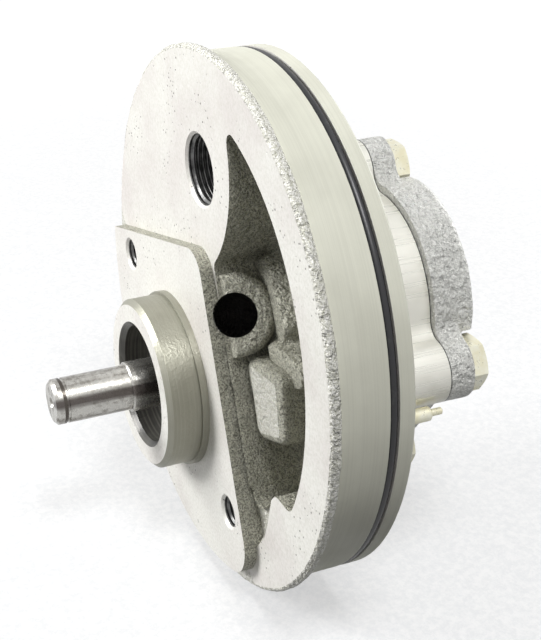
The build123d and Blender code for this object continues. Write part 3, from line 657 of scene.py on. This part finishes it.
FAR_OFF = 1.0                                       # further than any point of the disc


def eased(share):
    """Smooth step 3t^2 - 2t^3 of a share cut off at 0 and 1."""
    share = np.clip(share, 0, 1)
    return share * share * (3 - 2 * share)


def from_stretch(flat, start, end):
    """Distance of points in X and Z from the straight stretch between two points."""
    along = end - start
    share = np.clip((flat - start) @ along / (along @ along), 0, 1)
    return np.linalg.norm(flat - start - share[:, None] * along, axis=1)


def outside(points, outline):
    """Distance of points from an outline in X and Z, and 0 inside it, where a line to the left of the
    point crosses the outline an odd number of times."""
    flat = points[:, [0, 2]]
    best = np.full(len(flat), FAR_OFF)
    inside = np.zeros(len(flat), dtype=bool)
    for start, end in zip(np.array(outline), np.roll(outline, -1, axis=0)):
        best = np.minimum(best, from_stretch(flat, start, end))
        spans = (start[1] > flat[:, 1]) != (end[1] > flat[:, 1])
        rise = end[1] - start[1] or 1e-12
        cross = start[0] + (flat[:, 1] - start[1]) * (end[0] - start[0]) / rise
        inside ^= spans & (flat[:, 0] < cross)
    return np.where(inside, 0.0, best)


def raise_steps(work):
    """Lift the pocket's floor to the steps round the side port and between the boss and the rim: each is
    level inside its outline and slopes down to the floor within the taper."""
    verts, places = zone_verts(work, POCKET)
    target = places[:, 1]
    for outline, level in ((WEB, WEB_LEVEL), (WEB_FOOT, FOOT_LEVEL), (PORT_STEP, PORT_LEVEL)):
        slope = eased(outside(places, outline) / STEP_TAPER)
        target = np.minimum(target, level + (POCKET_FLOOR - level) * slope)
    for vertex, level in zip(verts, target):
        vertex.co.y = level
    bmesh.ops.dissolve_degenerate(work, dist=SLIVER, edges=work.edges)


def open_bore(work):
    """Cut the seal bore round at the lead-in's depth and widen its mouth, which makes a chamfer."""
    layer = work.faces.layers.int["zone"]
    faces = [f for f in work.faces if f[layer] == SEAL_BORE]
    bmesh.ops.bisect_plane(work, geom=with_parts(faces), plane_co=(0, BOSS_FRONT + BORE_LEAD, 0),
                           plane_no=(0, 1, 0), dist=WELD)
    front_of_cut = BOSS_FRONT + BORE_LEAD * 0.6
    for vertex in work.verts:
        offset = Vector((vertex.co.x - DRIVE_AT[0], 0, vertex.co.z - DRIVE_AT[2]))
        if vertex.co.y < front_of_cut and BORE_INNER < offset.length < BORE_MOUTH:
            place = offset.normalized() * BORE_MOUTH
            vertex.co.x, vertex.co.z = DRIVE_AT[0] + place.x, DRIVE_AT[2] + place.z


def on_front(face):
    """Whether a face lies in the milled front face."""
    return face.normal.y < -LEVEL and abs(face.calc_center_median().y - DISC_FRONT) < LEVEL_GAP


def mark_scoop(work, layer):
    """Cut the front face along the scoop's outline and give what is inside its own zone."""
    for start, end in zip(SCOOP, SCOOP[1:] + SCOOP[:1]):
        faces = [f for f in work.faces if f[layer] == MACHINED and on_front(f)]
        side = (end[1] - start[1], 0, start[0] - end[0])
        bmesh.ops.bisect_plane(work, geom=with_parts(faces), plane_co=(start[0], 0, start[1]),
                               plane_no=side, dist=WELD)
    work.normal_update()
    for face in work.faces:
        if on_front(face) and outside(np.array([face.calc_center_median()[:]]), SCOOP)[0] == 0:
            face[layer] = SCOOPED


def sink_scoop(work):
    """Push the scoop's floor in, tapering to its outer edges and full where it meets pad and pocket."""
    verts, places = zone_verts(work, SCOOPED)
    outer = np.array(SCOOP[:SCOOP_OUTER])
    slope = np.min([from_stretch(places[:, [0, 2]], *ends) for ends in zip(outer, outer[1:])], axis=0)
    depth = SCOOP_DEPTH * eased(slope / SCOOP_TAPER)
    for vertex, place, more in zip(verts, places, depth):
        if place[1] < DISC_FRONT + LEVEL_GAP:
            vertex.co.y = place[1] + more


# ---- Mounting disc ---------------------------------------------------------------------------------
COARSE_GRAIN, LIP_GRAIN, COVER_GRAIN = 0.0014, 0.0012, 0.0013   # sizes of the relief's finer lumps


def disc_finishes(colours):
    """Materials of the disc in the order of its zones."""
    return (
        machined_face(colours),
        # Painted shade: the pocket and, below, the pad's walls take darker colours than the same iron on
        # front faces.
        rough_casting("pocket_casting", colours.cast_light, colours.cast_dark),
        rough_casting("lip_casting", colours.face, colours.lip_dark, 1100, 0.0010, 0.1, 0.45),
        turned_face("turned_rim", colours, colours.rim, 0.0, 0.5),
        turned_face("turned_boss", colours, colours.boss, 0.6, 0.42, 0.00015),
        rough_casting("rear_casting", colours.cover_light, colours.cover_dark),
        # Painted shade: the deep inner faces and the seal bore take near-black colours that stand in for
        # the shade inside the disc.
        rough_casting("inner_casting", colours.bore, colours.pore),
        turned_face("oiled_bore", colours, colours.bore, 0.3, 0.3),
        rough_casting("pad_wall_casting", colours.cast_light, colours.cast_dark),
        # Painted light: the block's face and the scoop take a lighter copy of the pocket's casting, as
        # front faces lit by the key light.
        rough_casting("block_face_casting", colours.face, colours.cast_light),
        rough_casting("scoop_casting", colours.face, colours.cast_light))


def make_disc(sizes, colours):
    """The mounting disc: the solid's own surface, with relief on its cast zones."""
    work = merged_copy(DISC)
    layer = disc_zones(work)
    open_bore(work)
    refine(work, POCKET, sizes.cell)
    raise_steps(work)
    refine(work, SCOOPED, sizes.cell)
    sink_scoop(work)
    for zone, height, grain, seed in (
            (POCKET, sizes.relief, COARSE_GRAIN, 3),
            (SCOOPED, sizes.relief, COARSE_GRAIN, 3),
            (PAD_WALL, sizes.relief, COARSE_GRAIN, 3),
            (LIP, sizes.lip_relief, LIP_GRAIN, 9),
            (BLOCK_FACE, sizes.lip_relief, COARSE_GRAIN, 17)):
        refine(work, zone, sizes.cell)
        roughen(work, zone, height, grain, seed)
    for face in work.faces:
        face.material_index = face[layer]
    mesh = finish_mesh(work, "disc_casting")
    for material in disc_finishes(colours):
        mesh.materials.append(material)
    piece = new_piece("disc_casting", mesh, "root")
    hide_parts("mounting_disc")


# ---- Rear cover ------------------------------------------------------------------------------------
COVER_SKIN = 1                                      # zone of the cover's cast faces
COVER_CELLS = 1.1                                   # its net is this much coarser than the pocket's


def make_cover(sizes, colours):
    """The rear cover: the solid's own surface with a coarse cast skin, its joint face left flat."""
    work = merged_copy(frame["nodes"]["rear_cover"])
    layer = work.faces.layers.int.new("zone")
    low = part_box("rear_cover")[0].y
    for face in work.faces:
        face[layer] = COVER_SKIN if face.calc_center_median().y > low + LEVEL_GAP else MACHINED
    refine(work, COVER_SKIN, sizes.cell * COVER_CELLS)
    roughen(work, COVER_SKIN, sizes.cover_relief, COVER_GRAIN, 21)
    mesh = finish_mesh(work, "cover_casting")
    mesh.materials.append(rough_casting(
        "cover_casting", colours.cover_light, colours.cover_dark, 1100, 0.0014, 0.25, 0.36))
    piece = new_piece("cover_casting", mesh, "root")
    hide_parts("rear_cover")


# ---- Threads ---------------------------------------------------------------------------------------
THREAD_SIDES = 72                                   # points round a thread
THREAD_ROWS = 10                                    # rows of points a pitch
THREAD_GAP = 0.00003                                # between the hole and the thread's root
THREAD_BACK = 0.00002                               # and the sleeve's plain back
THREAD_STEP = 0.001                                 # a thread starts this far inside its hole
HOLE_THREAD = 0.017                                 # length of the flange holes' threads


def thread_sleeve(name, at, axis, radius, depth, pitch, length):
    """Inside thread: a wall whose radius is the hole's less the depth times a triangle wave, with flat
    roots and crests, of (distance / pitch - turn), closed behind by a plain wall just inside the hole."""
    turns = np.linspace(0, 2 * math.pi, THREAD_SIDES, endpoint=False)
    along = np.linspace(0, length, int(length / pitch * THREAD_ROWS))
    turn, run = np.meshgrid(turns, along, indexing="ij")
    wave = np.abs((run / pitch - turn / (2 * math.pi)) % 1.0 * 2 - 1)
    fade = np.clip(run / pitch, 0, 1)
    inner = radius - THREAD_GAP - depth * fade * np.clip(wave * 1.3 - 0.15, 0, 1)
    side_a = np.cross(axis, (0.0, 0.0, 1.0))
    side_a = side_a / np.linalg.norm(side_a)
    side_b = np.cross(axis, side_a)
    ring = np.cos(turn)[..., None] * side_a + np.sin(turn)[..., None] * side_b
    wall = np.asarray(at) - run[..., None] * np.asarray(axis)
    front = wall + inner[..., None] * ring
    back = wall[:, ::-1] + (radius - THREAD_BACK) * ring[:, ::-1]
    return grid_mesh(name, np.concatenate([front, back], axis=1), close_u=True, close_v=True)


def make_threads(sizes, colours):
    """Threads of the screwed port and of the two flange holes."""
    # Painted shade: the threads take dark colours that stand in for the shade inside their holes.
    steel = plain_metal("cut_thread", colours.thread, colours.thread_deep_shade, 0.4, 900)
    port = mount("screw_port")
    at = np.array(port["pos_m"])
    at[1] = DISC_FRONT + THREAD_STEP
    axis = np.array(port["axis"], dtype=float)
    mesh = thread_sleeve("screw_port_thread", at, axis, port["dims"]["r_mm"] * MM, sizes.port_depth,
                         sizes.port_pitch, port["dims"]["length_mm"] * MM - THREAD_STEP)
    mesh.materials.append(steel)
    new_piece("screw_port_thread", mesh, "root")
    pattern = mount("flange_holes")
    for number, hole in enumerate(flange_hole_places()):
        hole[1] = PAD_FRONT + THREAD_STEP
        mesh = thread_sleeve(f"flange_thread_{number}", hole, axis, pattern["dims"]["hole_r_mm"] * MM,
                             sizes.hole_depth, sizes.hole_pitch, HOLE_THREAD)
        mesh.materials.append(steel)
        new_piece(f"flange_thread_{number}", mesh, "root")


# ---- Finishes of the pieces that keep their solids -------------------------------------------------
def dress(node, material):
    """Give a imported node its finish."""
    mesh = frame["nodes"][node].data
    mesh.materials.clear()
    mesh.materials.append(material)


def dress_all(colours):
    """Finishes of every node that isn't replaced."""
    steel = polished_steel(colours)
    rubber = black_rubber(colours)
    bronze = plain_metal("bush_bronze", colours.bronze, colours.bronze_dark, 0.3)
    ground = plain_metal("ground_gear", colours.ground, colours.ground_dark, 0.3)
    seal = plain_metal("seal_case_steel", colours.seal, colours.seal_dark, 0.34, 300)
    housing = machined_housing(colours)
    zinc = zinc_plate(colours)
    finishes = {
        "rim_o_ring": rubber, "seal_lip": rubber, "body_gasket": rubber, "cover_gasket": rubber,
        "seal_case": seal, "seal_spring": ground, "drive_shaft": steel, "idler_shaft": steel,
        "drive_key": ground, "drive_gear": ground, "idler_gear": ground, "dowel_pins": ground,
        "front_drive_bush": bronze, "front_idler_bush": bronze, "rear_drive_bush": bronze,
        "rear_idler_bush": bronze, "gear_housing": housing, "cover_bolts": zinc, "locating_pin": zinc}
    for node, material in finishes.items():
        dress(node, material)


# ---- Stage -----------------------------------------------------------------------------------------
VIEW_TARGET = Vector((0.0160, 0.0140, 0.0042))
VIEW_AZIMUTH, VIEW_ELEVATION, VIEW_DISTANCE, VIEW_LENS = 65.8, 26.2, 0.512, 77.6
SENSOR_WIDTH = 36                                   # mm, as the lens
NEAREST, FURTHEST = 0.01, 50                        # what the camera takes in
LIGHT_DISTANCE = 1.1
LIGHTS = (                                          # name, azimuth, elevation, size in metres, watts
    ("key_light", -30, 22, 0.5, 14.5),
    ("side_light", 88, 62, 0.35, 9),
    ("back_light", 205, 12, 0.6, 5))
TABLE_HALF = 3.0                                    # half the table's width
TABLE_NEAR, TABLE_FAR = 0.12, 0.9                   # reach over which it grows from shaded to plain white
TABLE_SPECKS = ((0.30, 0.305, 0.31), (0.36, 0.36, 0.36))   # what takes the shadow, near the object
TABLE_PLAIN = (0.03, 0.03, 0.03)                    # and far from it
TABLE_BOUNCE = (0.09, 0.09, 0.09)                   # for light thrown back at the object
GLOW_SPECKS = ((0.95, 0.955, 0.96), (1.0, 1.0, 1.0))
GLOW_NEAR, GLOW_FAR = 0.57, 0.98                    # glow that makes the table white where it is seen
GLOSS_LOSS = 0.3                                    # share of the glow that glosses don't see
WORLD_LIGHT = 0.15                                  # the world's level as light


def direction(azimuth, elevation):
    """Unit vector from the object towards a viewpoint; azimuth 0 is in front, at -Y."""
    a, e = math.radians(azimuth), math.radians(elevation)
    return Vector((math.sin(a) * math.cos(e), -math.cos(a) * math.cos(e), math.sin(e)))


def make_camera():
    """Camera at the chosen angle, distance and lens."""
    data = bpy.data.cameras.new("camera")
    data.lens = VIEW_LENS
    data.sensor_width = SENSOR_WIDTH
    data.clip_start, data.clip_end = NEAREST, FURTHEST
    camera = bpy.data.objects.new("camera", data)
    back = direction(VIEW_AZIMUTH, VIEW_ELEVATION)
    camera.location = VIEW_TARGET + back * VIEW_DISTANCE
    camera.rotation_mode = "QUATERNION"
    camera.rotation_quaternion = (-back).to_track_quat("-Z", "Y")
    bpy.context.scene.collection.objects.link(camera)
    bpy.context.scene.camera = camera


def soft_light(name, azimuth, elevation, size, power):
    """Square soft box aimed at the object."""
    data = bpy.data.lights.new(name, "AREA")
    data.shape = "SQUARE"
    data.size = size
    data.energy = power
    light = bpy.data.objects.new(name, data)
    back = direction(azimuth, elevation)
    light.location = back * LIGHT_DISTANCE
    light.rotation_mode = "QUATERNION"
    light.rotation_quaternion = (-back).to_track_quat("-Z", "Y")
    bpy.context.scene.collection.objects.link(light)


def seen_directly(nodes, links):
    """1 for what is seen directly, in a gloss or through glass, and 0 for light that falls on things."""
    path = nodes.new("ShaderNodeLightPath")
    total = path.outputs["Is Camera Ray"]
    for name in ("Is Glossy Ray", "Is Transmission Ray"):
        both = nodes.new("ShaderNodeMath")
        both.operation = "MAXIMUM"
        links.new(total, both.inputs[0])
        links.new(path.outputs[name], both.inputs[1])
        total = both.outputs[0]
    return total


def floor_material():
    """White speckled table top: what is seen of it is nearly white and keeps the object's shadow, and
    the light that it throws on the object is weak."""
    s = Shader("table_top", 0.0, 0.6, 0.2)
    seen = seen_directly(s.nodes, s.links)
    speck = s.between(s.noise(420, 4, 0.75), 0.35, 0.65)
    far = s.between(s.reach(), TABLE_NEAR, TABLE_FAR)
    colour = s.mix(far, s.mix(speck, *TABLE_SPECKS), TABLE_PLAIN)
    colour = s.mix(seen, TABLE_BOUNCE, colour)
    s.feed(s.shader.inputs["Emission Color"], s.mix(speck, *GLOW_SPECKS))
    glow = s.between(s.reach(), TABLE_NEAR, TABLE_FAR, GLOW_NEAR, GLOW_FAR)
    gloss = s.nodes.new("ShaderNodeLightPath").outputs["Is Glossy Ray"]
    glow = s.math("MULTIPLY", glow, s.math("SUBTRACT", 1.0, s.math("MULTIPLY", gloss, GLOSS_LOSS)))
    s.feed(s.shader.inputs["Emission Strength"], s.math("MULTIPLY", glow, seen))
    return s.done(colour)


def make_floor():
    """Large flat table top under the object."""
    low = CAD_BOX[0].z
    corners = [[[x, y, low] for y in (-TABLE_HALF, TABLE_HALF)] for x in (-TABLE_HALF, TABLE_HALF)]
    mesh = grid_mesh("table_top", np.array(corners))
    mesh.materials.append(floor_material())
    floor = bpy.data.objects.new("table_top", mesh)
    bpy.context.scene.collection.objects.link(floor)


def make_world():
    """Pale surroundings: white overhead, slightly greyer towards the horizon, and weaker as light."""
    world = bpy.data.worlds.new("surroundings")
    world.use_nodes = True
    nodes, links = world.node_tree.nodes, world.node_tree.links
    way = nodes.new("ShaderNodeTexCoord")
    split = nodes.new("ShaderNodeSeparateXYZ")
    links.new(way.outputs["Generated"], split.inputs[0])
    blend = nodes.new("ShaderNodeMapRange")
    blend.interpolation_type = "SMOOTHSTEP"
    for key, value in (("From Min", -0.1), ("From Max", 0.55), ("To Min", 0.86), ("To Max", 1.0)):
        blend.inputs[key].default_value = value
    links.new(split.outputs["Z"], blend.inputs["Value"])
    links.new(blend.outputs[0], nodes["Background"].inputs["Color"])
    level = nodes.new("ShaderNodeMapRange")
    level.inputs["To Min"].default_value = WORLD_LIGHT
    links.new(seen_directly(nodes, links), level.inputs["Value"])
    links.new(level.outputs[0], nodes["Background"].inputs["Strength"])
    bpy.context.scene.world = world


# ---- Operators -------------------------------------------------------------------------------------
class PUMP_OT_disc(bpy.types.Operator):
    """Build the mounting disc with its cast pocket, lip and machined faces"""

    bl_idname = "pump.disc"
    bl_label = "Mounting disc"

    def execute(self, context):
        """Run the step."""
        make_disc(context.scene.pump_sizes, context.scene.pump_colours)
        return {"FINISHED"}


class PUMP_OT_cover(bpy.types.Operator):
    """Build the rear cover with its cast skin"""

    bl_idname = "pump.cover"
    bl_label = "Rear cover"

    def execute(self, context):
        """Run the step."""
        make_cover(context.scene.pump_sizes, context.scene.pump_colours)
        return {"FINISHED"}


class PUMP_OT_threads(bpy.types.Operator):
    """Cut the threads of the screwed port and the flange holes"""

    bl_idname = "pump.threads"
    bl_label = "Threads"

    def execute(self, context):
        """Run the step."""
        make_threads(context.scene.pump_sizes, context.scene.pump_colours)
        return {"FINISHED"}


class PUMP_OT_finishes(bpy.types.Operator):
    """Give shafts, gears, bushes, seal, housing and bolts their finishes"""

    bl_idname = "pump.finishes"
    bl_label = "Finishes"

    def execute(self, context):
        """Run the step."""
        dress_all(context.scene.pump_colours)
        return {"FINISHED"}


class PUMP_OT_stage(bpy.types.Operator):
    """Set up the table top, the light and the camera"""

    bl_idname = "pump.stage"
    bl_label = "Stage"

    def execute(self, context):
        """Run the step."""
        context.scene.view_settings.view_transform = "Standard"
        make_world()
        make_floor()
        for light in LIGHTS:
            soft_light(*light)
        make_camera()
        return {"FINISHED"}


class PUMP_PT_panel(bpy.types.Panel):
    """Buttons and settings of the pump"""

    bl_idname = "PUMP_PT_panel"
    bl_label = "Pump"
    bl_space_type = "VIEW_3D"
    bl_region_type = "UI"
    bl_category = "Pump"

    def draw(self, context):
        """List the steps in order, then the settings."""
        for step in STEPS:
            self.layout.operator(step.bl_idname)
        for group in (context.scene.pump_sizes, context.scene.pump_colours):
            for key in group.bl_rna.properties.keys():
                if key not in ("rna_type", "name"):
                    self.layout.prop(group, key)


STEPS = (PUMP_OT_disc, PUMP_OT_cover, PUMP_OT_threads, PUMP_OT_finishes, PUMP_OT_stage)
CLASSES = (PumpColours, PumpSizes, *STEPS, PUMP_PT_panel)


def register():
    """Register the classes and attach the settings to the scene."""
    for item in CLASSES:
        bpy.utils.register_class(item)
    bpy.types.Scene.pump_colours = bpy.props.PointerProperty(type=PumpColours)
    bpy.types.Scene.pump_sizes = bpy.props.PointerProperty(type=PumpSizes)


def unregister():
    """Undo register."""
    del bpy.types.Scene.pump_colours
    del bpy.types.Scene.pump_sizes
    for item in reversed(CLASSES):
        bpy.utils.unregister_class(item)


def main():
    """Build everything in order."""
    register()
    bpy.ops.pump.disc()
    bpy.ops.pump.cover()
    bpy.ops.pump.threads()
    bpy.ops.pump.finishes()
    bpy.ops.pump.stage()


if __name__ == "__main__":
    main()
